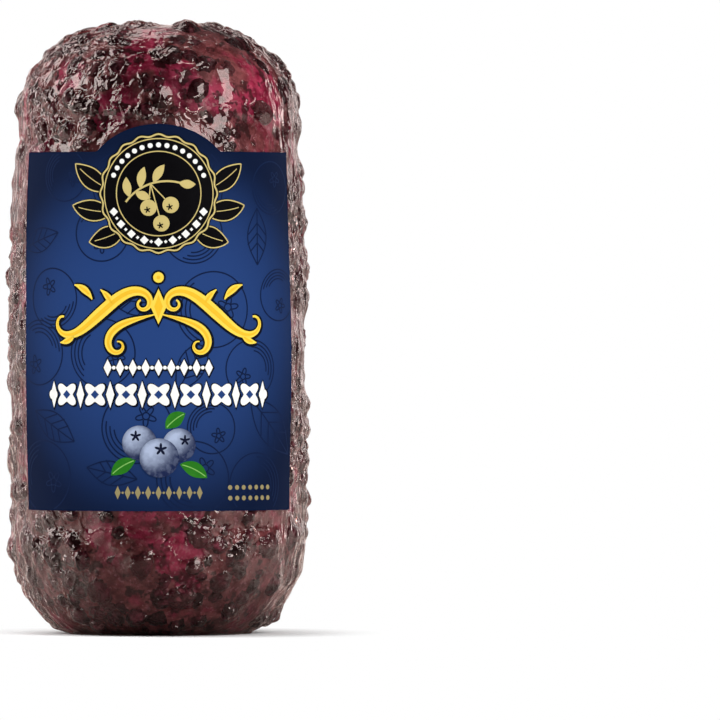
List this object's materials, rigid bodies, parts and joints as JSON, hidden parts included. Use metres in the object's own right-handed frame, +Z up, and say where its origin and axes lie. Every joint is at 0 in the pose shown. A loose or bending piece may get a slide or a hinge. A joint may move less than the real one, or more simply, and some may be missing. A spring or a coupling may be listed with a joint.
{
  "type": "blueberry goat cheese log",
  "caption": "Upright log of soft goat cheese rolled in dried blueberries, sealed in tight clear film, with a blue tabbed label round its front.",
  "frame": {"origin": "middle of the flat spot that the log stands on", "axes": "+Z up along the log, -Y towards the front, where the label is, +X to the right as seen from the front"},
  "size_m": [0.0432, 0.0429, 0.0871],
  "materials": {
    "berry_crust": "dark berries and stained cheese under tight glossy clear film",
    "blue_label": "satin printed label, dark blue with yellow, white and black shapes"
  },
  "bodies": {
    "root": {"cheese_log": "berry_crust", "label": "blue_label"}
  },
  "joints": []
}
